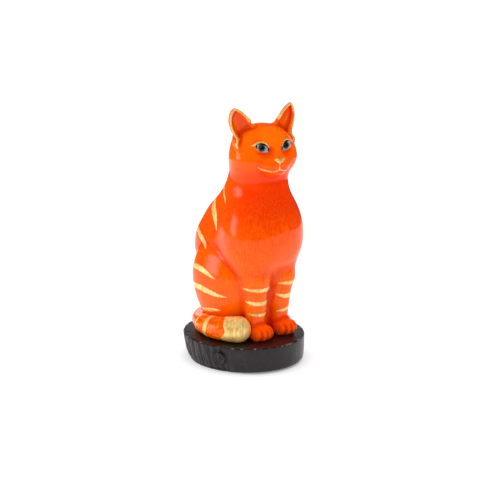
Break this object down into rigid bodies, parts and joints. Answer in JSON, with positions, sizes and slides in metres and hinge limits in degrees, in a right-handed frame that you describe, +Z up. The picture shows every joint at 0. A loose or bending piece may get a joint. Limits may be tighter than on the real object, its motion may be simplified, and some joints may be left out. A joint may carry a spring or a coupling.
{
  "type": "cat figurine",
  "caption": "Seated orange enamelled cat figurine with gilt stripes, on a dark oval wood plinth.",
  "frame": {"origin": "centre of the plinth's underside, on the surface that it stands on", "axes": "+Z up, the figure looks along -Y and its right side is -X"},
  "size_m": [0.054, 0.058, 0.1194],
  "materials": {
    "orange_enamel": "gloss",
    "gilt": "satin",
    "eye_enamel": "gloss",
    "stained_wood": "satin",
    "steel": "satin",
    "felt": "matte"
  },
  "bodies": {
    "root": {"felt_pad": "felt", "plinth": "stained_wood", "plinth_screws": "steel", "screw_washers": "steel", "body": "orange_enamel", "head": "orange_enamel", "right_ear": "orange_enamel", "left_ear": "orange_enamel", "right_foreleg": "orange_enamel", "left_foreleg": "orange_enamel", "tail": "orange_enamel", "tail_tip": "gilt", "right_eye": "eye_enamel", "left_eye": "eye_enamel", "right_eyelid": "gilt", "left_eyelid": "gilt", "right_ear_rim": "gilt", "left_ear_rim": "gilt", "nose": "gilt", "mouth": "gilt", "back_stripes": "gilt", "haunch_stripes": "gilt", "right_foreleg_stripes": "gilt", "left_foreleg_stripes": "gilt", "tail_bands": "gilt"}
  },
  "joints": []
}
